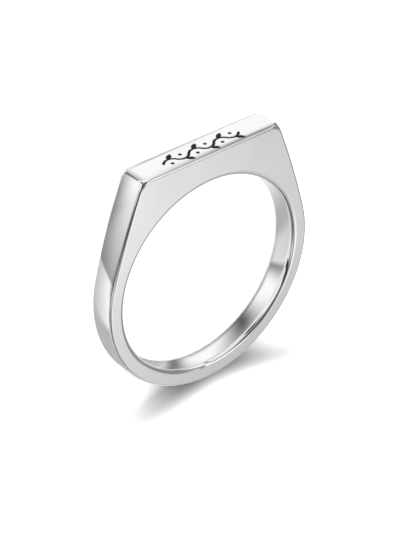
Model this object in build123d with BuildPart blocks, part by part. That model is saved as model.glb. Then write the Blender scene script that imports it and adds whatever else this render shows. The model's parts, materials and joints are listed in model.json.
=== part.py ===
"""One-piece bar ring with an engraved top face, lying on its side. Millimetres, +Z up.

The origin is the centre of the finger hole. +Y runs from there to the flat bar, X runs along the bar,
and the finger goes through along Z. The ring is wider at the bar than at the shank, and the side that
it lies on is level, so the finger axis leans by half of that taper.
"""

from build123d import *
from math import acos, atan, atan2, cos, degrees, hypot, pi, sin
import os

# Finger hole
finger_diameter = 17.3
hole_rounding = 0.4

# Shank, bar and the gently curved shoulders between them, looking along the finger
shank_wall = 1.42
bar_wall = 2.71
bar_length = 13.75
shoulder_bend = 75.0

# Widths along the finger
bar_width = 2.62
shank_width = 2.0

# Softened outline of both sides, and the crisper edges across the ends of the bar's top
edge_rounding = 0.2
end_rounding = 0.06

# The bar's four corners, which wear and polish have rounded further
corner_rounding = 1.1
corner_overhang = 0.32

# Engraved vine on the bar's top face, and the bare metal between it and the ends of the bar
vine_margin = 3.12
vine_shift_along = -0.15
vine_shift_across = -0.15
vine_depth = 0.06
vine_line = 0.23
vine_waves = 6
wave_rise = 0.33
leaf_length = 0.87
leaf_belly = 0.21
leaf_slope = 38
berry_radius = 0.16
berry_drop = 0.66

finger_radius = finger_diameter / 2
shank_radius = finger_radius + shank_wall
bar_height = finger_radius + bar_wall
half_bar = bar_length / 2
past_ring = 3 * bar_height

# The middle plane halves the ring's width. Its x runs along the bar and its y towards it.
lean = atan((bar_width - shank_width) / 2 / (bar_height + shank_radius))
middle = Plane(origin=(0, 0, 0), x_dir=(1, 0, 0), z_dir=(0, -sin(lean), cos(lean)))
finger_axis = middle.z_dir
lengthwise = Plane(origin=(0, 0, 0), x_dir=middle.y_dir, z_dir=(1, 0, 0))
bar_top = Plane(origin=middle.y_dir * bar_height, x_dir=(1, 0, 0), z_dir=middle.y_dir)

# A shoulder is one wide arc from the bar's end to the shank, which it touches as a tangent. The
# centre of that arc lies beyond the finger axis, on the line from the contact point through the axis.
bar_end_reach = hypot(half_bar, bar_height)
bend_setback = shoulder_bend - shank_radius
reach_difference = shoulder_bend**2 - bar_end_reach**2 - bend_setback**2
reach_turn = acos(reach_difference / (2 * bar_end_reach * bend_setback))
contact_angle = atan2(bar_height, half_bar) - reach_turn
contact = (shank_radius * cos(contact_angle), shank_radius * sin(contact_angle))
shoulder_slope = atan2(
    bar_height + bend_setback * sin(contact_angle),
    half_bar + bend_setback * cos(contact_angle),
)

# Each wave of the vine's stem is one arc, and the next arc bends the other way
wave_length = (bar_length - 2 * vine_margin) / vine_waves
vine_start = vine_shift_along - vine_waves * wave_length / 2


def half_width(reach):
    """Half of the ring's width at a distance from the finger axis, positive towards the bar."""
    share = (reach + shank_radius) / (bar_height + shank_radius)
    return (shank_width + (bar_width - shank_width) * share) / 2


def corner_plane(end):
    """Plane through one end of the bar. Its x points out midway between the top and the shoulder."""
    slope = (pi / 2 + shoulder_slope) / 2
    outward = Vector(end * cos(slope), 0, 0) + middle.y_dir * sin(slope)
    corner = Vector(end * half_bar, 0, 0) + middle.y_dir * bar_height
    return Plane(origin=corner, x_dir=outward, z_dir=outward.cross(finger_axis))


with BuildPart() as ring:
    # Bar, shoulders and shank in one outline
    with BuildSketch(middle):
        with BuildLine():
            Line((-half_bar, bar_height), (half_bar, bar_height))
            shoulder = TangentArc(
                contact,
                (half_bar, bar_height),
                tangent=(-sin(contact_angle), cos(contact_angle)),
            )
            mirror(shoulder, about=Plane.YZ)
            CenterArc(
                center=(0, 0),
                radius=shank_radius,
                start_angle=180 - degrees(contact_angle),
                arc_size=180 + 2 * degrees(contact_angle),
            )
        make_face()
    extrude(amount=bar_width + shank_width, both=True)

    # Sides that come closer together from the bar to the shank
    with BuildSketch(lengthwise):
        with BuildLine():
            Polyline(
                (-past_ring, -half_width(-past_ring)),
                (past_ring, -half_width(past_ring)),
                (past_ring, half_width(past_ring)),
                (-past_ring, half_width(-past_ring)),
                close=True,
            )
        make_face()
    extrude(amount=past_ring, both=True, mode=Mode.INTERSECT)

    # Softened edges
    bar_ends = ring.faces().sort_by(Axis.Y)[-1].edges().filter_by(Axis.X, reverse=True)
    fillet(bar_ends, radius=end_rounding)
    sides = ring.faces().sort_by(Axis.Z)
    fillet(sides[0].edges() + sides[-1].edges(), radius=edge_rounding)

    # Bar corners
    for end in (-1, 1):
        with BuildSketch(corner_plane(end)):
            Rectangle(past_ring, bar_width + 2 * corner_overhang, align=(Align.MAX, Align.CENTER))
            fillet(vertices().group_by(Axis.X)[-1], radius=corner_rounding)
        extrude(amount=past_ring, both=True, mode=Mode.INTERSECT)

    # Finger hole
    with Locations(middle):
        Hole(finger_radius)
    hole_wall = ring.faces().filter_by(GeomType.CYLINDER).sort_by(SortBy.AREA)[-1]
    fillet(hole_wall.edges().filter_by(GeomType.LINE, reverse=True), radius=hole_rounding)

    # Vine: a waving stem, with a leaf outside each wave and a berry inside it
    with BuildSketch(bar_top):
        for wave in range(vine_waves):
            up = 1 if wave % 2 == 0 else -1
            root = Vector(vine_start + wave * wave_length, vine_shift_across)
            crest = root + Vector(wave_length / 2, up * wave_rise)
            tip = root + Vector(wave_length, 0)
            with BuildLine():
                ThreePointArc(root, crest, tip)
            trace(line_width=vine_line)
            with BuildLine(Location(crest, (0, 0, up * leaf_slope))):
                ThreePointArc((0, 0), (leaf_length / 2, leaf_belly), (leaf_length, 0))
                ThreePointArc((leaf_length, 0), (leaf_length / 2, -leaf_belly), (0, 0))
            make_face()
            with Locations(crest - Vector(0, up * berry_drop)):
                Circle(berry_radius)
    extrude(amount=-vine_depth, mode=Mode.SUBTRACT)

ring.part.label = "ring"
os.makedirs("parts", exist_ok=True)
export_step(ring.part, "parts/ring.step")
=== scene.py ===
"""Looks of the bar ring: a polished metal ring with an engraved vine, lying on a pale studio floor.

Everything is placed in metres, in the frame of the CAD model. The classes hold the ring's own sizes in
millimetres, as its CAD source does, and turn them into metres when a mesh is written.
"""

import json
import logging
import math
from dataclasses import dataclass
from enum import Enum
from typing import Any, NamedTuple

import bpy
import numpy as np
from mathutils import Matrix, Vector


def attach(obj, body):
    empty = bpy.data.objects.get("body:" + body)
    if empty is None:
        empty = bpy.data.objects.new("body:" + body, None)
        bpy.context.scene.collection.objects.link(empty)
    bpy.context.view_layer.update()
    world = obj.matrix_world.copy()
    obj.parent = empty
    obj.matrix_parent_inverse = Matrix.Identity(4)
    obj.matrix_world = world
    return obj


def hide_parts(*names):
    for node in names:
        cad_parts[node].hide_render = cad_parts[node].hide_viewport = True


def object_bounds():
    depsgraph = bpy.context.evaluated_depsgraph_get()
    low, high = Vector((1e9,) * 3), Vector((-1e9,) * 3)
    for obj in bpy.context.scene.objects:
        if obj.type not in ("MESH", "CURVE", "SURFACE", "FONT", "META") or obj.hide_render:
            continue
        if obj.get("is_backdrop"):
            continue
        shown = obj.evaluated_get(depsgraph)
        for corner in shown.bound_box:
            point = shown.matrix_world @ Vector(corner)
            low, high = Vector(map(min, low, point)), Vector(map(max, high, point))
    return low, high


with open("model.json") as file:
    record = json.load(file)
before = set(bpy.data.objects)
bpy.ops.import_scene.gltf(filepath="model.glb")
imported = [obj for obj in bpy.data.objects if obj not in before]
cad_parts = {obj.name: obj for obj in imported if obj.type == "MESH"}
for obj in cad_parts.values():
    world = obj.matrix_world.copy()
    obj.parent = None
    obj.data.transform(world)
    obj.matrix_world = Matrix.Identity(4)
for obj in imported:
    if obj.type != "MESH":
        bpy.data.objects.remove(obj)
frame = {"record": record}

log = logging.getLogger("bar_ring")

MM = 0.001
IMAGE_LONG_SIDE = 533

# Keeps a divisor or the width of a step above zero
TINY = 1e-6

# Steepest elevation that a panel's edge is worked out for, in degrees
STEEPEST = 89.0

# Places of the grid's lines between two roundings. They crowd beside each rounding, so that flat metal
# stays flat next to it. The first three go from 0 to 1, the wall's from -1 at one mouth to 1 at the
# other. The outer face has its two next to each edge, as shares of the way out from its middle.
SHOULDER_PLACES = np.concatenate([[0.0, 0.01], np.linspace(0.04, 0.97, 16), [0.992]])
TOP_END_PLACES = np.concatenate([[0.992, 0.97], np.linspace(0.93, 0.03, 12)])
SIDE_PLACES = np.array([0.0, 0.02, 0.08, 0.3, 0.55, 0.8, 0.94, 0.985])
WALL_PLACES = np.array([-1.0, -0.98, -0.9, -0.45, 0.0, 0.45, 0.9, 0.98])
FACE_NEAREST, FACE_NEXT = 0.985, 0.95


def smoothstep(value: np.ndarray, low: float, high: float) -> np.ndarray:
    """Soft step from 0 at low to 1 at high: 3 t^2 - 2 t^3, with t the share of the way from 0 to 1.

    Args:
        value: numbers of any shape.
        low: where the step starts.
        high: where the step ends.

    Returns:
        The stepped numbers, in the shape of value.
    """
    share = np.clip((value - low) / (high - low), 0.0, 1.0)
    return share * share * (3.0 - 2.0 * share)


def facing(angle: np.ndarray) -> np.ndarray:
    """Unit vectors in the directions of those angles, along a new last axis."""
    return np.stack([np.cos(angle), np.sin(angle)], axis=-1)


class Socket:
    """An outlet of a shader node, on which sums are written as Python expressions."""

    def __init__(self, graph: "Graph", outlet: bpy.types.NodeSocket) -> None:
        """Keeps the outlet and the graph that it belongs to."""
        self.graph = graph
        self.outlet = outlet

    def _maths(self, operation: str, *values: Any) -> "Socket":
        """Adds a Math node for one operation on the given values or sockets."""
        return self.graph.node("ShaderNodeMath", {"operation": operation}, dict(enumerate(values)))

    def __add__(self, other: Any) -> "Socket":
        """Sum."""
        return self._maths("ADD", self, other)

    __radd__ = __add__

    def __sub__(self, other: Any) -> "Socket":
        """Difference."""
        return self._maths("SUBTRACT", self, other)

    def __rsub__(self, other: Any) -> "Socket":
        """Difference, the other way round."""
        return self._maths("SUBTRACT", other, self)

    def __mul__(self, other: Any) -> "Socket":
        """Product."""
        return self._maths("MULTIPLY", self, other)

    __rmul__ = __mul__

    def __truediv__(self, other: Any) -> "Socket":
        """Quotient."""
        return self._maths("DIVIDE", self, other)

    def __rtruediv__(self, other: Any) -> "Socket":
        """Quotient, the other way round."""
        return self._maths("DIVIDE", other, self)

    def __pow__(self, other: Any) -> "Socket":
        """Power."""
        return self._maths("POWER", self, other)

    def step(self, low: float, high: float) -> "Socket":
        """Soft step from 0 at low to 1 at high."""
        return self.graph.node(
            "ShaderNodeMapRange",
            {"interpolation_type": "SMOOTHSTEP"},
            {"Value": self, "From Min": low, "From Max": high, "To Min": 0.0, "To Max": 1.0},
        )


class Graph:
    """The shader nodes of one material or of the world.

    The Mix node has sockets of the same name for each type of data, so its colours go by number.
    """

    MIX_SHARE, MIX_FIRST, MIX_SECOND = 0, 6, 7
    MIXED_COLOUR = 2

    def __init__(self, tree: bpy.types.NodeTree) -> None:
        """Empties the node tree that it then fills."""
        self.tree = tree
        tree.nodes.clear()

    def node(
        self,
        kind: str,
        settings: dict[str, Any] | None = None,
        inputs: dict[str | int, Any] | None = None,
        outlet: str | int = 0,
    ) -> Socket:
        """Adds a node.

        Args:
            kind: the node's Blender type.
            settings: the node's own properties, set before its sockets.
            inputs: a value or a Socket for each input, by name or number.
            outlet: which output to hand back.

        Returns:
            The chosen output.
        """
        made = self.tree.nodes.new(kind)
        for name, value in (settings or {}).items():
            setattr(made, name, value)
        for key, value in (inputs or {}).items():
            if isinstance(value, Socket):
                self.tree.links.new(value.outlet, made.inputs[key])
            else:
                made.inputs[key].default_value = value
        return Socket(self, made.outputs[outlet] if made.outputs else None)

    def mix(self, share: Any, first: Any, second: Any) -> Socket:
        """Colour that goes from first, at a share of 0, to second, at a share of 1."""
        inputs = {self.MIX_SHARE: share, self.MIX_FIRST: first, self.MIX_SECOND: second}
        return self.node("ShaderNodeMix", {"data_type": "RGBA"}, inputs, self.MIXED_COLOUR)

    def parts(self, vector: Socket) -> list[Socket]:
        """The X, Y and Z of a vector."""
        split = "ShaderNodeSeparateXYZ"
        return [self.node(split, inputs={"Vector": vector}, outlet=axis) for axis in "XYZ"]


class Place(Enum):
    """Which coordinates a pattern follows."""

    OBJECT = "Object"
    DIRECTION = "Generated"


def grey(level: float) -> tuple[float, float, float, float]:
    """A neutral opaque colour of that brightness."""
    return (level, level, level, 1.0)


def laid_over(below: Any, share: Socket, level: float) -> Socket:
    """Brightness of what lies below, where something of that level covers a share of it."""
    return below * (1.0 - share) + share * level


@dataclass(frozen=True)
class PolishedMetal:
    """Mirror-polished white metal with faint polishing lines, smears and a blackened engraving.

    Attributes:
        tone: colour of the bare metal.
        tarnish: colour of the thin film in the smears.
        black: colour of the engraving.
        gloss: roughness of the cleanest metal.
        smear_gloss: extra roughness in the smears.
        edge_gloss: extra roughness along worn edges.
        cut_gloss: extra roughness in the engraving.
        cut_sheen: specular level of the black in the engraving.
        smear_scale: smears per metre.
        smear_range: noise at which a smear starts, and at which it is full.
        wave_scale: gentle waves of the polished surface, per metre.
        wave_height: height of those waves in metres.
        line_scale: polishing lines per metre.
        line_height: depth of the polishing lines in metres.
        line_stretch: how the lines' coordinates are scaled, which draws them out along the bar.
        grain_scale: grains per metre on the engraving's floor.
        grain_height: height of those grains in metres.
    """

    tone: tuple[float, float, float, float] = grey(0.935)
    tarnish: tuple[float, float, float, float] = (0.905, 0.903, 0.9, 1.0)
    black: tuple[float, float, float, float] = (0.006, 0.006, 0.007, 1.0)
    gloss: float = 0.015
    smear_gloss: float = 0.025
    edge_gloss: float = 0.005
    cut_gloss: float = 0.5
    cut_sheen: float = 0.1
    smear_scale: float = 260.0
    smear_range: tuple[float, float] = (0.42, 0.72)
    wave_scale: float = 170.0
    wave_height: float = 0.0000008
    line_scale: float = 26000.0
    line_height: float = 0.000000008
    line_stretch: tuple[float, float, float] = (0.02, 1.0, 0.04)
    grain_scale: float = 6500.0
    grain_height: float = 0.000012

    def material(self, name: str) -> bpy.types.Material:
        """Builds the material.

        Args:
            name: the material's name.

        Returns:
            A node-based material that reads the marks "engraved" and "worn" of the mesh.
        """
        made = bpy.data.materials.new(name)
        made.use_nodes = True
        graph = Graph(made.node_tree)
        place = graph.node("ShaderNodeTexCoord", outlet=Place.OBJECT.value)
        engraved = graph.node("ShaderNodeAttribute", {"attribute_name": "engraved"}, outlet="Fac")
        worn = graph.node("ShaderNodeAttribute", {"attribute_name": "worn"}, outlet="Fac")
        smear = graph.node(
            "ShaderNodeTexNoise",
            inputs={"Vector": place, "Scale": self.smear_scale, "Detail": 4.0, "Roughness": 0.6},
        ).step(*self.smear_range)
        wave = graph.node(
            "ShaderNodeTexNoise", inputs={"Vector": place, "Scale": self.wave_scale, "Detail": 1.0}
        )
        along = graph.node("ShaderNodeMapping", inputs={"Vector": place, "Scale": self.line_stretch})
        lines = graph.node(
            "ShaderNodeTexNoise", inputs={"Vector": along, "Scale": self.line_scale, "Detail": 2.0}
        )
        grain = graph.node(
            "ShaderNodeTexNoise", inputs={"Vector": place, "Scale": self.grain_scale, "Detail": 2.0}
        )
        height = wave * self.wave_height + lines * self.line_height + grain * engraved * self.grain_height
        normal = graph.node(
            "ShaderNodeBump", inputs={"Height": height, "Strength": 1.0, "Distance": 1.0}
        )
        bare = graph.mix(smear, self.tone, self.tarnish)
        roughness = smear * self.smear_gloss + worn * self.edge_gloss + self.gloss
        surface = graph.node(
            "ShaderNodeBsdfPrincipled",
            inputs={
                "Base Color": graph.mix(engraved, bare, self.black),
                "Metallic": 1.0 - engraved,
                "Roughness": roughness + engraved * self.cut_gloss,
                "Specular IOR Level": self.cut_sheen,
                "Normal": normal,
            },
        )
        graph.node("ShaderNodeOutputMaterial", inputs={"Surface": surface})
        return made


@dataclass(frozen=True)
class Vine:
    """The vine engraved on the bar's flat top. Along runs down the bar, across from its lit side.

    Attributes:
        shift_along: middle of the vine from the middle of the bar, in millimetres, as all lengths here.
        shift_across: the same across the bar, negative towards the upper side.
        waves: number of arcs in the stem.
        wave_length: length of one arc's chord.
        wave_rise: height of one arc over its chord.
        line: width of the stem.
        leaf_length: length of a leaf.
        leaf_belly: half of a leaf's width.
        leaf_slope: turn of a leaf from the stem's run, in degrees.
        berry_radius: radius of the berry inside a wave.
        berry_drop: distance from a wave's crest to its berry.
        depth: depth of the cut.
        wall: width over which the cut's wall slopes.
        black_from: share of the depth from which the cut is wholly black.
    """

    shift_along: float = -0.15
    shift_across: float = -0.15
    waves: int = 6
    wave_length: float = 1.2517
    wave_rise: float = 0.33
    line: float = 0.23
    leaf_length: float = 0.87
    leaf_belly: float = 0.21
    leaf_slope: float = 38.0
    berry_radius: float = 0.16
    berry_drop: float = 0.66
    depth: float = 0.06
    wall: float = 0.03
    black_from: float = 0.5

    def reach_along(self) -> float:
        """How far from the middle of the bar the vine can reach, along the bar."""
        return abs(self.shift_along) + self.waves * self.wave_length / 2 + self.line

    def reach_across(self) -> float:
        """How far the vine reaches to each side of its own middle line."""
        slope = math.radians(self.leaf_slope)
        return self.wave_rise + self.leaf_length * math.sin(slope) + self.wall

    @staticmethod
    def arc_distance(
        along: np.ndarray,
        across: np.ndarray,
        centre: tuple[float, float],
        radius: float,
        start: float,
        sweep: float,
    ) -> np.ndarray:
        """Distance to an arc: to its circle where the arc is, and to its nearer end elsewhere.

        Args:
            along: places along the bar.
            across: places across the bar.
            centre: the arc's centre.
            radius: the arc's radius.
            start: the angle at which it starts.
            sweep: the angle that it turns, negative for clockwise.

        Returns:
            The distance of each place.
        """
        x, y = along - centre[0], across - centre[1]
        turned = np.mod((np.arctan2(y, x) - start) * math.copysign(1.0, sweep), 2 * math.pi)
        ends = [
            np.hypot(x - radius * math.cos(angle), y - radius * math.sin(angle))
            for angle in (start, start + sweep)
        ]
        on_circle = np.abs(np.hypot(x, y) - radius)
        return np.where(turned <= abs(sweep), on_circle, np.minimum(*ends))

    def leaf_distance(self, along: np.ndarray, across: np.ndarray, turn: float) -> np.ndarray:
        """Distance to a leaf at the origin, which is the lens where two equal discs overlap.

        Args:
            along: places along the bar from the leaf's foot.
            across: places across the bar from the leaf's foot.
            turn: the leaf's direction in radians.

        Returns:
            The distance of each place to the leaf's rim, negative inside.
        """
        half = self.leaf_length / 2
        disc = (half * half + self.leaf_belly**2) / (2 * self.leaf_belly)
        forward = along * math.cos(turn) + across * math.sin(turn)
        aside = np.abs(across * math.cos(turn) - along * math.sin(turn))
        return np.hypot(forward - half, aside + disc - self.leaf_belly) - disc

    def cut(self, along: np.ndarray, across: np.ndarray) -> np.ndarray:
        """How much of the full depth is cut away, from 0 on bare metal to 1 on the cut's floor.

        The distance to the nearest stroke, leaf or berry is taken, and the wall slopes across its rim.

        Args:
            along: places along the bar, any shape.
            across: places across the bar, the same shape.

        Returns:
            The share of the depth at each place.
        """
        bend = (self.wave_length**2 / 4 + self.wave_rise**2) / (2 * self.wave_rise)
        slope = math.atan2(self.wave_length / 2, bend - self.wave_rise)
        start = self.shift_along - self.waves * self.wave_length / 2
        nearest = np.full(along.shape, np.inf)
        for wave in range(self.waves):
            up = 1 if wave % 2 == 0 else -1
            middle = start + (wave + 0.5) * self.wave_length
            crest = self.shift_across + up * self.wave_rise
            stem = self.arc_distance(
                along,
                across,
                (middle, crest - up * bend),
                bend,
                up * (math.pi / 2 + slope),
                -up * 2 * slope,
            )
            berry = np.hypot(along - middle, across - crest + up * self.berry_drop)
            turn = up * math.radians(self.leaf_slope)
            leaf = self.leaf_distance(along - middle, across - crest, turn)
            shapes = [nearest, stem - self.line / 2, berry - self.berry_radius, leaf]
            nearest = np.minimum.reduce(shapes)
        return smoothstep(-nearest, -self.wall / 2, self.wall / 2)


class Stretch(NamedTuple):
    """A stretch of the ring's outline, with one row for each column of the grid.

    A point is base + r * pull, where r is the radius of the bar's corner there. A larger radius pulls
    the ends of the shoulder and of the top back along them.

    Attributes:
        base: the points of an outline with sharp corners.
        pull: how far each point moves for a radius of one.
        normal: the outward normals.
    """

    base: np.ndarray
    pull: np.ndarray
    normal: np.ndarray


@dataclass(frozen=True)
class BarRing:
    """The ring as one closed skin: a grid of columns round the finger and rows round the metal.

    Attributes:
        finger_radius: radius of the finger hole, in millimetres, as all lengths here.
        shank_wall: thickness of the round shank.
        bar_wall: thickness from the hole to the bar's flat top.
        bar_length: length of the flat top.
        shoulder_bend: radius of the gentle curve from the bar's end down to the shank.
        bar_width: width at the bar, along the finger.
        shank_width: width at the shank's far point.
        hole_rounding: rounding of both mouths of the hole.
        edge_rounding: rounding of the outer edges of both sides.
        end_rounding: rounding of the crisper edges across the ends of the flat top.
        corner_rounding: rounding of the bar's four corners, seen across the bar.
        corner_overhang: how far outside the metal that rounding starts.
        vine: the engraving.
        finish: the metal's finish.
        cell: size of the grid's cells in the engraving.
        shank_columns: columns along half of the shank.
        corner_columns: columns round a corner.
        rounding_rows: rows round an edge or a mouth, with both of its ends.
        rows_above: steps from the vine's rows to those beside the upper edge.
        rows_below: the same towards the lower edge.
    """

    finger_radius: float
    shank_wall: float = 1.42
    bar_wall: float = 2.71
    bar_length: float = 13.75
    shoulder_bend: float = 75.0
    bar_width: float = 2.62
    shank_width: float = 2.0
    hole_rounding: float = 0.4
    edge_rounding: float = 0.2
    end_rounding: float = 0.06
    corner_rounding: float = 1.1
    corner_overhang: float = 0.32
    vine: Vine = Vine()
    finish: PolishedMetal = PolishedMetal()
    cell: float = 0.022
    shank_columns: int = 57
    corner_columns: int = 17
    rounding_rows: int = 8
    rows_above: int = 4
    rows_below: int = 8

    @property
    def shank_radius(self) -> float:
        """Outer radius of the round shank."""
        return self.finger_radius + self.shank_wall

    @property
    def bar_height(self) -> float:
        """Height of the flat top over the finger's axis."""
        return self.finger_radius + self.bar_wall

    @property
    def taper(self) -> float:
        """How fast half of the width grows towards the bar."""
        return (self.bar_width - self.shank_width) / 2 / (self.bar_height + self.shank_radius)

    @property
    def bend_setback(self) -> float:
        """How far beyond the finger's axis the centre of a shoulder's curve lies."""
        return self.shoulder_bend - self.shank_radius

    @property
    def contact_angle(self) -> float:
        """Angle at which a shoulder's curve touches the shank as a tangent.

        It follows by the law of cosines from the triangle between the finger's axis, the centre of the
        curve and the end of the flat top.

        Returns:
            The angle in radians, from +X towards the bar.
        """
        half, setback = self.bar_length / 2, self.bend_setback
        reach = math.hypot(half, self.bar_height)
        difference = self.shoulder_bend**2 - reach**2 - setback**2
        return math.atan2(self.bar_height, half) - math.acos(difference / (2 * reach * setback))

    @property
    def shoulder_slope(self) -> float:
        """Angle of a shoulder's outward normal at the end of the flat top.

        Returns:
            The angle in radians, from +X towards the bar.
        """
        touch, setback = self.contact_angle, self.bend_setback
        return math.atan2(
            self.bar_height + setback * math.sin(touch),
            self.bar_length / 2 + setback * math.cos(touch),
        )

    def half_width(self, reach: np.ndarray) -> np.ndarray:
        """Half of the width at a distance from the finger's axis, growing straight towards the bar."""
        return self.shank_width / 2 + self.taper * (reach + self.shank_radius)

    @property
    def half_turn(self) -> float:
        """Half of the angle by which the outline turns at a corner."""
        return (math.pi / 2 - self.shoulder_slope) / 2

    def shank_stretch(self) -> Stretch:
        """The shank's circle, from its far point to just short of the shoulder's curve."""
        normal = facing(np.linspace(-math.pi / 2, self.contact_angle, self.shank_columns + 1)[:-1])
        return Stretch(self.shank_radius * normal, np.zeros_like(normal), normal)

    def shoulder_stretch(self) -> Stretch:
        """The shoulder's curve, whose upper end the corner pulls back along it.

        Returns:
            The stretch.
        """
        angle = self.contact_angle + SHOULDER_PLACES * (self.shoulder_slope - self.contact_angle)
        normal = facing(angle)
        run = normal[:, ::-1] * np.array([-1.0, 1.0])
        centre = -self.bend_setback * facing(self.contact_angle)
        pull = -math.tan(self.half_turn) * SHOULDER_PLACES[:, None] * run
        return Stretch(centre + self.shoulder_bend * normal, pull, normal)

    def corner_stretch(self) -> Stretch:
        """The corner's arc, whose centre lies on the corner's bisector.

        Returns:
            The stretch.
        """
        slope = self.shoulder_slope
        normal = facing(np.linspace(slope, math.pi / 2, self.corner_columns))
        bisector = facing(slope + self.half_turn)
        tip = np.broadcast_to([self.bar_length / 2, self.bar_height], normal.shape)
        return Stretch(tip, normal - bisector / math.cos(self.half_turn), normal)

    def top_stretch(self) -> Stretch:
        """Right half of the flat top: its bare end, which the corner pulls back, then the vine.

        Returns:
            The stretch, whose columns are a cell apart along the vine.
        """
        dense = self.vine.reach_along()
        bare = dense + TOP_END_PLACES * (self.bar_length / 2 - dense)
        along = np.concatenate([bare, np.linspace(dense, 0.0, round(dense / self.cell) + 1)])
        base = np.stack([along, np.full(len(along), self.bar_height)], axis=1)
        pull = np.zeros_like(base)
        pull[: len(bare), 0] = -TOP_END_PLACES * math.tan(self.half_turn)
        return Stretch(base, pull, np.broadcast_to([0.0, 1.0], base.shape))

    def outline(self) -> Stretch:
        """Whole outline: the right half, then its mirror image back down to the shank's far point.

        Returns:
            The outline as one stretch.
        """
        stretches = (
            self.shank_stretch(),
            self.shoulder_stretch(),
            self.corner_stretch(),
            self.top_stretch(),
        )
        halves = (np.concatenate(parts) for parts in zip(*stretches))
        flip = np.array([-1.0, 1.0])
        return Stretch(*(np.concatenate([half, half[-2:0:-1] * flip]) for half in halves))

    def corner_radius(self, off_middle: np.ndarray) -> np.ndarray:
        """Radius of the bar's corners at a distance from the middle plane.

        Seen across the bar, a corner is cut back by a circle that starts outside the metal. The radius is
        the one whose arc is cut back as much, joined to the end's own rounding as a root of squares.

        Args:
            off_middle: distances from the middle plane, any shape, all well inside the circle's reach.

        Returns:
            The radius for each distance.
        """
        start = self.bar_width / 2 + self.corner_overhang - self.corner_rounding
        past = np.maximum(np.abs(off_middle) - start, 0.0)
        bite = self.corner_rounding - np.sqrt(self.corner_rounding**2 - past**2)
        eased = bite / (1.0 / math.cos(self.half_turn) - 1.0)
        return np.sqrt(self.end_rounding**2 + eased**2)

    def rows_across(self) -> np.ndarray:
        """Places of the rows across the outer face, from 1 at its upper edge to near -1 at its lower edge.

        They are a cell apart where the vine is, further apart beside it, and close together again at
        both edges, so that the flat stays flat beside its rounding.

        Returns:
            The places. The rows of the lower edge's rounding follow the last one.
        """
        flat = self.bar_width / 2 - self.edge_rounding
        top = (self.vine.reach_across() - self.vine.shift_across) / flat
        low = (-self.vine.reach_across() - self.vine.shift_across) / flat
        dense = np.linspace(top, low, round((top - low) * flat / self.cell) + 1)
        above = np.linspace(FACE_NEXT, top, self.rows_above + 1)[:-1]
        below = np.linspace(low, -FACE_NEXT, self.rows_below + 1)[1:]
        return np.concatenate([[1.0, FACE_NEAREST], above, dense, below, [-FACE_NEAREST]])

    def skin(self) -> tuple[np.ndarray, dict[str, np.ndarray]]:
        """Points of the whole skin and its two marks.

        A column is a cut through the metal: down the outer face, round the lower edge, in along the
        lower side, round the mouth of the hole, up the hole's wall, round its other mouth, out along the
        upper side and round the upper edge. Roundings are quarter circles. The outer face is set back by
        the vine's depth where the vine is cut.

        Returns:
            The points, columns by rows by three, in metres, and the marks "engraved" and "worn".
        """
        base, pull, normal = (part[:, None, :] for part in self.outline())
        edge, mouth, hole = self.edge_rounding, self.hole_rounding, self.finger_radius
        rim = self.half_width((base - edge * normal)[..., 1])
        rim = rim + self.taper * (self.corner_radius(rim) * pull[..., 1])
        ray = facing(np.arctan2(base[..., 1], base[..., 0]))
        mouth_half = self.half_width((hole + mouth) * ray[..., 1])

        def outer(off_middle: np.ndarray, inset: np.ndarray | float) -> np.ndarray:
            """Points of the outside.

            Args:
                off_middle: distances from the middle plane, columns by rows.
                inset: how far in from the outline, for each row.

            Returns:
                The points, columns by rows by three.
            """
            radius = self.corner_radius(off_middle)[..., None]
            spot = base + radius * pull - np.asarray(inset)[..., None] * normal
            return np.concatenate([spot, off_middle[..., None]], axis=-1)

        def inner(distance: np.ndarray | float, off_middle: np.ndarray) -> np.ndarray:
            """Points of the hole and its mouths.

            Args:
                distance: distances from the finger's axis, for each row.
                off_middle: distances from the middle plane, columns by rows.

            Returns:
                The points, columns by rows by three.
            """
            spot = np.broadcast_to(distance, off_middle.shape)[..., None] * ray
            return np.concatenate([spot, off_middle[..., None]], axis=-1)

        face_off = self.rows_across() * (rim - edge)
        on_bar = base[..., 1] > 0.0
        cut = on_bar * self.vine.cut(np.broadcast_to(base[..., 0], face_off.shape), -face_off)
        quarter = np.linspace(0.0, math.pi / 2, self.rounding_rows)
        gone, left = 1 - np.cos(quarter), 1 - np.sin(quarter)
        face = outer(face_off, cut * self.vine.depth)
        lower_edge = outer(-(rim - edge * left[1:-1]), edge * gone[1:-1])
        upper_edge = outer(rim - edge * gone[1:-1], edge * left[1:-1])
        lower_rim, upper_rim = outer(-rim, edge), outer(rim, edge)
        lower_end, upper_end = inner(hole + mouth, -mouth_half), inner(hole + mouth, mouth_half)
        inward = SIDE_PLACES[:, None]
        outward = np.concatenate([[0.0], 1 - SIDE_PLACES[:0:-1]])[:, None]
        # The cut's rows in their order, each block with its mark of wear
        blocks = [
            (face, 0.0),
            (lower_edge, 1.0),
            (lower_rim + inward * (lower_end - lower_rim), 0.0),
            (inner(hole + mouth * left[:-1], -(mouth_half - mouth * gone[:-1])), 0.0),
            (inner(hole, WALL_PLACES * (mouth_half - mouth)), 0.0),
            (inner(hole + mouth * gone[:-1], mouth_half - mouth * left[:-1]), 0.0),
            (upper_end + outward * (upper_rim - upper_end), 0.0),
            (upper_rim, 0.0),
            (upper_edge, 1.0),
        ]
        points = np.concatenate([block for block, _ in blocks], axis=1)
        worn = np.concatenate([np.full(block.shape[:2], mark) for block, mark in blocks], axis=1)
        engraved = np.zeros(points.shape[:2])
        engraved[:, : cut.shape[1]] = np.minimum(cut / self.vine.black_from, 1.0)
        return self.leaned(points) * MM, {"engraved": engraved, "worn": worn}

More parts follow.
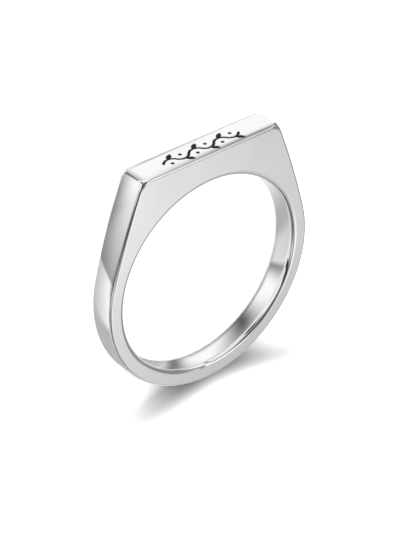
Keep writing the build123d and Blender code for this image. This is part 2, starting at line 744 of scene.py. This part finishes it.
    def leaned(self, points: np.ndarray) -> np.ndarray:
        """Points turned about X, so that the lower side lies level: a turn by the angle of the taper.

        Args:
            points: points in the frame of the middle plane, any number of axes by three.

        Returns:
            The points in the CAD model's frame.
        """
        lean = math.atan(self.taper)
        x, y, off = points[..., 0], points[..., 1], points[..., 2]
        return np.stack(
            [x, y * math.cos(lean) - off * math.sin(lean), y * math.sin(lean) + off * math.cos(lean)],
            axis=-1,
        )

    def build(self) -> bpy.types.Object:
        """Makes the ring's skin in place of its CAD node and dresses it.

        Returns:
            The ring.
        """
        points, marks = self.skin()
        made = closed_grid("ring_skin", points, marks)
        made.data.materials.append(self.finish.material("polished_metal"))
        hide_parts("ring")
        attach(made, "root")
        return made


def closed_grid(name: str, points: np.ndarray, marks: dict[str, np.ndarray]) -> bpy.types.Object:
    """A skin over a grid that closes on itself both ways.

    The point in column i and row j makes a face with columns i and i + 1 and rows j and j + 1, counted
    round the grid.

    Args:
        name: the object's name.
        points: columns by rows by three, in metres.
        marks: a number for each point, by the mark's name.

    Returns:
        The smooth-shaded object.
    """
    columns, rows = points.shape[:2]
    number = np.arange(columns * rows).reshape(columns, rows)
    beside, below = np.roll(number, -1, axis=0), np.roll(number, -1, axis=1)
    across = np.roll(beside, -1, axis=1)
    faces = np.stack([number, below, across, beside], axis=-1).reshape(-1, 4)
    mesh = bpy.data.meshes.new(name)
    mesh.vertices.add(columns * rows)
    mesh.vertices.foreach_set("co", points.astype(np.float32).ravel())
    mesh.loops.add(faces.size)
    mesh.loops.foreach_set("vertex_index", faces.astype(np.int32).ravel())
    mesh.polygons.add(len(faces))
    mesh.polygons.foreach_set("loop_start", np.arange(0, faces.size, 4, dtype=np.int32))
    mesh.update(calc_edges=True)
    mesh.polygons.foreach_set("use_smooth", np.ones(len(faces), dtype=bool))
    for mark, values in marks.items():
        made = mesh.attributes.new(mark, "FLOAT", "POINT")
        made.data.foreach_set("value", values.astype(np.float32).ravel())
    mesh.validate()
    made = bpy.data.objects.new(name, mesh)
    bpy.context.scene.collection.objects.link(made)
    return made


@dataclass(frozen=True)
class Card:
    """A soft-edged four-sided patch of the floor.

    Attributes:
        x: place of the middle of its near edge, in millimetres, as all lengths here.
        y: the same along Y.
        turn: direction of that edge, in degrees from +X towards +Y. The patch lies to its left.
        length: its length along that edge.
        width: its width from that edge.
        level: its brightness.
        near: half of the blur of the near edge.
        far: half of the blur of the far edge.
        side: half of the blur of both ends.
    """

    x: float
    y: float
    turn: float
    length: float
    width: float
    level: float
    near: float
    far: float
    side: float

    def mask(self, x: Socket, y: Socket) -> Socket:
        """How much of the patch shows at a place, 1 on it and 0 off it.

        Args:
            x: the place's X in millimetres.
            y: the place's Y in millimetres.

        Returns:
            The share.
        """
        turn, half = math.radians(self.turn), self.length / 2
        along = (x - self.x) * math.cos(turn) + (y - self.y) * math.sin(turn)
        aside = (y - self.y) * math.cos(turn) - (x - self.x) * math.sin(turn)
        ends = along.step(-half - self.side, self.side - half)
        ends = ends * (1.0 - along.step(half - self.side, half + self.side))
        near = aside.step(-self.near, self.near)
        return ends * near * (1.0 - aside.step(self.width - self.far, self.width + self.far))


@dataclass(frozen=True)
class Floor:
    """The white floor that the ring lies on, as the camera sees it and as the metal mirrors it.

    The floor's colour carries a painted shadow of the ring, and what the metal mirrors of it are painted
    contact shadows and painted reflections. The cards' numbers come from a search that compared a simple
    mirror model of the ring with the photograph, and the painted shadow's from a search that followed
    the shadow in it. They were then rounded.
    The last two cards and the level of the thin one in the flat top were given one by one.

    Attributes:
        half_side: half of its side in metres.
        tone: its colour.
        mottle: its slightly darker tone.
        mottle_scale: spots of that tone per metre.
        painted_shadow: the ring's painted soft shadow beyond the shank, two lobes, each over the one
            before.
        gleam: its brightness as the metal mirrors it.
        outer: radius of the shank, in millimetres, beyond which the mirrored floor brightens.
        inner: radius of the finger hole, in millimetres, inside which it does.
        under: radii under the metal between which the hole's side goes over into the outside.
        foot: painted contact shadow, as the mirrored floor's brightness at the shank's foot and its reach.
        wall: the same painted contact shadow at the foot of the hole's wall.
        cards: painted reflections and shadows the metal mirrors by the ring, each laid over those before
            it.
    """

    half_side: float = 1.5
    tone: tuple[float, float, float, float] = grey(0.9)
    mottle: tuple[float, float, float, float] = grey(0.885)
    mottle_scale: float = 60.0
    # Painted shadow: two soft lobes that darken the floor's colour beyond the shank
    painted_shadow: tuple[Card, ...] = (
        Card(x=0.2, y=-13.5, turn=15.0, length=13.8, width=4.3, level=0.09, near=2.3, far=1.4, side=8.5),
        Card(x=3.9, y=-12.5, turn=-17.5, length=22.0, width=2.2, level=0.0, near=2.1, far=2.2, side=12.0),
    )
    gleam: float = 1.03
    outer: float = 10.07
    inner: float = 8.65
    under: tuple[float, float] = (9.07, 9.17)
    foot: tuple[float, float] = (0.6, 2.1)
    wall: tuple[float, float] = (0.45, 0.8)
    # Painted reflections and painted shadows: patches in the floor's emission that only the metal sees
    cards: tuple[Card, ...] = (
        # Mirrored in the left shoulder
        Card(x=-9.5, y=4.23, turn=41.0, length=8.0, width=1.15, level=0.04, near=0.12, far=6.3, side=0.9),
        Card(x=-7.77, y=9.45, turn=72.5, length=5.0, width=0.55, level=0.0, near=0.1, far=1.4, side=2.5),
        Card(x=-8.2, y=11.25, turn=0.0, length=2.5, width=6.5, level=0.0, near=0.13, far=11.5, side=0.07),
        Card(x=-12.3, y=-0.7, turn=81.0, length=25.0, width=28.0, level=0.12, near=0.28, far=5.5, side=8.0),
        # In the wall of the hole
        Card(x=7.4, y=4.65, turn=130.5, length=12.6, width=6.0, level=0.65, near=0.03, far=0.9, side=2.7),
        Card(x=6.2, y=-3.07, turn=174.5, length=3.2, width=0.35, level=0.0, near=0.23, far=0.85, side=0.15),
        Card(x=5.04, y=-5.88, turn=124.0, length=4.1, width=2.2, level=0.04, near=1.2, far=1.6, side=2.3),
        # In the outside of the shank, and in the hole at the shank's far point
        Card(x=-4.0, y=-11.0, turn=76.0, length=25.0, width=8.8, level=0.5, near=1.65, far=0.35, side=1.45),
        Card(
            x=-2.33, y=-8.31, turn=-63.0, length=0.8, width=3.5, level=0.23, near=0.13, far=0.64, side=0.37
        ),
        # In the flat top
        Card(x=-5.65, y=12.5, turn=45.0, length=2.9, width=1.3, level=0.0, near=0.44, far=0.6, side=0.03),
        Card(x=2.9, y=10.93, turn=-1.2, length=17.3, width=0.6, level=0.6, near=0.04, far=0.06, side=1.3),
        Card(x=8.15, y=13.24, turn=0.8, length=14.8, width=18.5, level=0.15, near=0.25, far=3.6, side=8.0),
        # In the edges at the right, and high up in the hole
        Card(x=11.4, y=10.8, turn=-106.5, length=24.0, width=18.5, level=0.16, near=1.5, far=4.6, side=1.0),
        Card(x=8.0, y=-0.5, turn=0.0, length=3.0, width=7.0, level=0.46, near=1.0, far=0.5, side=0.5),
        Card(x=8.0, y=2.5, turn=0.0, length=3.0, width=4.0, level=0.85, near=2.2, far=0.5, side=0.5),
    )

    def build(self, level: float) -> bpy.types.Object:
        """Lays the floor.

        Args:
            level: its height in metres.

        Returns:
            The floor, declared as stage.
        """
        side = np.array([-self.half_side, self.half_side])
        x, y = np.meshgrid(side, side)
        corners = np.stack([x.ravel(), y.ravel(), np.full(4, level)], axis=1)
        mesh = bpy.data.meshes.new("floor")
        mesh.from_pydata(corners.tolist(), [], [(0, 1, 3, 2)])
        made = bpy.data.objects.new("floor", mesh)
        bpy.context.scene.collection.objects.link(made)
        mesh.materials.append(self.material())
        made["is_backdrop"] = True
        return made

    def mirrored(self, x: Socket, y: Socket) -> Socket:
        """Brightness of the floor and its cards as the metal mirrors them: painted shadows and reflections.

        Args:
            x: the place's X in millimetres.
            y: the place's Y in millimetres.

        Returns:
            The brightness.
        """
        radius = (x * x + y * y) ** 0.5
        outside = radius.step(*self.under)
        foot_level, foot_reach = self.foot
        wall_level, wall_reach = self.wall
        # Painted contact shadow: the mirrored floor darkens at the foot of the shank and of the hole's wall
        foot = outside * (1.0 - radius.step(self.outer, self.outer + foot_reach))
        wall = (1.0 - outside) * radius.step(self.inner - wall_reach, self.inner)
        brightness = self.gleam - (foot * (self.gleam - foot_level) + wall * (self.gleam - wall_level))
        for card in self.cards:
            brightness = laid_over(brightness, card.mask(x, y), card.level)
        return brightness

    def material(self) -> bpy.types.Material:
        """Matt white board, very faintly mottled, with painted shadow and painted reflections for the
        metal.

        Returns:
            The material, whose painted shadow ends under the shank.
        """
        made = bpy.data.materials.new("white_board")
        made.use_nodes = True
        graph = Graph(made.node_tree)
        place = graph.node("ShaderNodeTexCoord", outlet=Place.OBJECT.value)
        x, y = (part / MM for part in graph.parts(place)[:2])
        cloud = graph.node(
            "ShaderNodeTexNoise", inputs={"Vector": place, "Scale": self.mottle_scale, "Detail": 3.0}
        )
        tone = graph.mix(cloud, self.tone, self.mottle)
        # Painted shadow: each lobe darkens the floor's colour, but not inside the finger hole
        beyond = ((x * x + y * y) ** 0.5).step(self.inner, self.outer)
        for card in self.painted_shadow:
            tone = graph.mix(card.mask(x, y) * beyond, tone, grey(card.level))
        board = graph.node(
            "ShaderNodeBsdfPrincipled",
            inputs={"Base Color": tone, "Roughness": 1.0, "Specular IOR Level": 0.0},
        )
        # Painted reflections: an emission that only glossy rays see, in place of the board
        mirrored = graph.node("ShaderNodeEmission", inputs={"Color": self.mirrored(x, y)})
        glossy = graph.node("ShaderNodeLightPath", outlet="Is Glossy Ray")
        # The two shaders' sockets share a name, so they go by number
        surface = graph.node("ShaderNodeMixShader", inputs={"Fac": glossy, 1: board, 2: mirrored})
        graph.node("ShaderNodeOutputMaterial", inputs={"Surface": surface})
        return made


@dataclass(frozen=True)
class Panel:
    """A soft-edged light or dark panel on the studio's dome.

    Attributes:
        azimuth: its middle, in degrees from +X towards +Y.
        spread: half of its width in degrees.
        lowest: elevation of its lower edge in degrees.
        highest: elevation of its upper edge in degrees.
        level: its brightness.
        blur: half of the blur of its sides in degrees.
        fade: half of the blur of its lower and upper edges in degrees.
    """

    azimuth: float
    spread: float
    lowest: float
    highest: float
    level: float
    blur: float
    fade: float

    def mask(self, along: Socket, aside: Socket, up: Socket) -> Socket:
        """Share of the panel in a direction, 1 inside it and 0 outside.

        Args:
            along: the direction's X, scaled so that its level part has length 1.
            aside: its Y, scaled the same way.
            up: its Z, unscaled.

        Returns:
            The share.
        """

        def sine(degrees: float) -> float:
            """Sine of an elevation, kept short of the zenith."""
            return math.sin(math.radians(max(-STEEPEST, min(STEEPEST, degrees))))

        middle = math.radians(self.azimuth)
        facing = along * math.cos(middle) + aside * math.sin(middle)
        inside = facing.step(
            math.cos(math.radians(min(self.spread + self.blur, 180.0))),
            math.cos(math.radians(max(self.spread - self.blur, 0.0))),
        )
        low = up.step(sine(self.lowest - self.fade), sine(self.lowest + self.fade))
        high = up.step(sine(self.highest - self.fade), sine(self.highest + self.fade) + TINY)
        return inside * low * (1.0 - high)


@dataclass(frozen=True)
class Studio:
    """Evenly lit white room, in whose dome the metal sees light and dark panels.

    Seen from the camera, the ring's upper side mirrors the four panels between 282 and 325 degrees that
    start at 29 degrees or higher. The others show in the rounded edges alone. The numbers of the table
    come from a search that compared a simple mirror model of the ring with the photograph. They were
    then rounded, and the last row was given on its own.

    Attributes:
        glow: brightness of the light that falls on the floor.
        backdrop: brightness that the camera sees behind the floor.
        dome: brightness of the mirrored dome between the panels.
        panels: the panels, each laid over those before it.
    """

    glow: float = 2.4
    backdrop: float = 1.0
    dome: float = 0.26
    panels: tuple[Panel, ...] = (
        Panel(azimuth=76.0, spread=42.0, lowest=-20.0, highest=37.0, level=1.05, blur=11.0, fade=20.0),
        Panel(azimuth=148.0, spread=18.0, lowest=-30.0, highest=48.0, level=1.1, blur=10.0, fade=30.0),
        Panel(azimuth=112.0, spread=5.5, lowest=-26.0, highest=39.0, level=0.1, blur=5.5, fade=8.0),
        Panel(azimuth=16.0, spread=5.0, lowest=54.0, highest=57.0, level=2.0, blur=12.0, fade=1.0),
        Panel(azimuth=58.0, spread=19.0, lowest=47.0, highest=51.0, level=2.0, blur=19.0, fade=14.0),
        Panel(azimuth=347.0, spread=15.0, lowest=63.0, highest=85.0, level=2.0, blur=16.0, fade=20.0),
        Panel(azimuth=284.0, spread=16.0, lowest=30.0, highest=78.0, level=1.35, blur=16.0, fade=28.0),
        Panel(azimuth=325.0, spread=13.0, lowest=29.0, highest=47.0, level=0.67, blur=3.5, fade=11.0),
        Panel(azimuth=305.0, spread=8.0, lowest=38.5, highest=50.0, level=1.35, blur=4.0, fade=4.0),
        Panel(azimuth=185.0, spread=28.0, lowest=-20.0, highest=64.0, level=0.9, blur=28.0, fade=1.0),
        Panel(azimuth=238.0, spread=28.0, lowest=4.0, highest=36.0, level=0.15, blur=20.0, fade=10.0),
        Panel(azimuth=282.0, spread=19.0, lowest=29.0, highest=50.0, level=0.45, blur=19.0, fade=14.0),
        Panel(azimuth=144.0, spread=83.0, lowest=60.0, highest=89.0, level=0.04, blur=1.0, fade=1.0),
        Panel(azimuth=190.0, spread=11.0, lowest=30.0, highest=86.0, level=0.0, blur=12.0, fade=21.0),
        Panel(azimuth=185.5, spread=3.0, lowest=-12.0, highest=37.0, level=0.0, blur=3.5, fade=1.0),
        Panel(azimuth=56.0, spread=1.5, lowest=-1.0, highest=42.0, level=0.0, blur=1.0, fade=22.0),
        Panel(azimuth=-4.0, spread=20.0, lowest=54.0, highest=56.5, level=0.1, blur=1.0, fade=1.0),
        Panel(azimuth=324.0, spread=5.0, lowest=12.0, highest=35.0, level=0.3, blur=6.0, fade=1.5),
    )

    def build(self) -> None:
        """Lights the world: a plain backdrop for the camera, panels for the metal, a glow for the floor."""
        scene = bpy.context.scene
        scene.world = bpy.data.worlds.new("studio")
        scene.world.use_nodes = True
        graph = Graph(scene.world.node_tree)
        direction = graph.node("ShaderNodeTexCoord", outlet=Place.DIRECTION.value)
        x, y, up = graph.parts(direction)
        level_part = (x * x + y * y + TINY) ** 0.5
        brightness: Any = self.dome
        for panel in self.panels:
            share = panel.mask(x / level_part, y / level_part, up)
            brightness = laid_over(brightness, share, panel.level)
        camera = graph.node("ShaderNodeLightPath", outlet="Is Camera Ray")
        glossy = graph.node("ShaderNodeLightPath", outlet="Is Glossy Ray")
        plain = camera * (self.backdrop - self.glow) + self.glow
        strength = plain * (1.0 - glossy) + brightness * glossy
        light = graph.node("ShaderNodeBackground", inputs={"Color": grey(1.0), "Strength": strength})
        graph.node("ShaderNodeOutputWorld", inputs={"Surface": light})
        scene.view_settings.view_transform = "Standard"


@dataclass(frozen=True)
class Lamp:
    """A square soft lamp.

    Attributes:
        azimuth: its place, in degrees from +X towards +Y.
        elevation: its elevation in degrees.
        distance: its distance from the origin in metres.
        side: its side in metres.
        watts: its power.
    """

    azimuth: float = 134.0
    elevation: float = 38.0
    distance: float = 0.6
    side: float = 0.12
    watts: float = 0.2

    def build(self) -> None:
        """Hangs the lamp so that it faces the ring."""
        turn, rise = math.radians(self.azimuth), math.radians(self.elevation)
        way = Vector(
            (math.cos(turn) * math.cos(rise), math.sin(turn) * math.cos(rise), math.sin(rise))
        )
        data = bpy.data.lights.new("soft_lamp", "AREA")
        data.shape, data.size, data.energy = "SQUARE", self.side, self.watts
        made = bpy.data.objects.new("soft_lamp", data)
        made.location = way * self.distance
        made.rotation_euler = (-way).to_track_quat("-Z", "Y").to_euler()
        made.visible_glossy = False
        bpy.context.scene.collection.objects.link(made)


@dataclass(frozen=True)
class Viewpoint:
    """The camera, over the floor and rolled as the ring leans in the photograph.

    Its direction and place were fitted to the outline of the ring in the photograph.

    Attributes:
        azimuth: direction of view, in degrees clockwise from +Y.
        elevation: how far the camera looks down, in degrees.
        roll: turn about the direction of view, in degrees.
        distance: distance of the camera in millimetres.
        aside: how far the line of sight passes the origin towards the picture's right, in millimetres.
        above: the same towards the picture's top.
        scale: pixels for a millimetre at the origin.
        sensor: width of the sensor in millimetres.
        clip: nearest and furthest distance that the camera sees, in metres.
    """

    azimuth: float = 135.9489
    elevation: float = 40.4968
    roll: float = 123.3788
    distance: float = 250.0
    aside: float = -0.1024
    above: float = 0.1286
    scale: float = 12.5531
    sensor: float = 36.0
    clip: tuple[float, float] = (0.01, 10.0)

    def build(self) -> bpy.types.Object:
        """Sets the camera up.

        Returns:
            The camera, which is also made the scene's.
        """
        turn, drop = math.radians(self.azimuth), math.radians(self.elevation)
        ahead = Vector(
            (math.sin(turn) * math.cos(drop), math.cos(turn) * math.cos(drop), -math.sin(drop))
        )
        level = ahead.cross(Vector((0.0, 0.0, 1.0))).normalized()
        rise = level.cross(ahead)
        roll = math.radians(self.roll)
        right = level * math.cos(roll) + rise * math.sin(roll)
        top = rise * math.cos(roll) - level * math.sin(roll)
        place = (right * self.aside + top * self.above - ahead * self.distance) * MM
        data = bpy.data.cameras.new("camera")
        data.sensor_fit, data.sensor_width = "AUTO", self.sensor
        data.lens = self.sensor * self.scale * self.distance / IMAGE_LONG_SIDE
        data.clip_start, data.clip_end = self.clip
        made = bpy.data.objects.new("camera", data)
        axes = Matrix((right, top, -ahead)).transposed()
        made.matrix_world = Matrix.Translation(place) @ axes.to_4x4()
        bpy.context.scene.collection.objects.link(made)
        bpy.context.scene.camera = made
        return made


def finger_radius(record: dict[str, Any]) -> float:
    """Radius of the finger hole in millimetres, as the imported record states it."""
    return next(mount["dims"]["r_mm"] for mount in record["mounts"] if mount["name"] == "finger_bore")


def main() -> None:
    """Builds the studio, the floor, the ring and the camera."""
    logging.basicConfig(level=logging.INFO, format="%(name)s: %(message)s")
    cad_box = [list(corner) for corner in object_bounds()]
    Studio().build()
    Lamp().build()
    Floor().build(cad_box[0][2])
    Viewpoint().build()
    ring = BarRing(finger_radius=finger_radius(frame["record"])).build()
    log.info("%s: %d points, %d faces", ring.name, len(ring.data.vertices), len(ring.data.polygons))


if __name__ == "__main__":
    main()
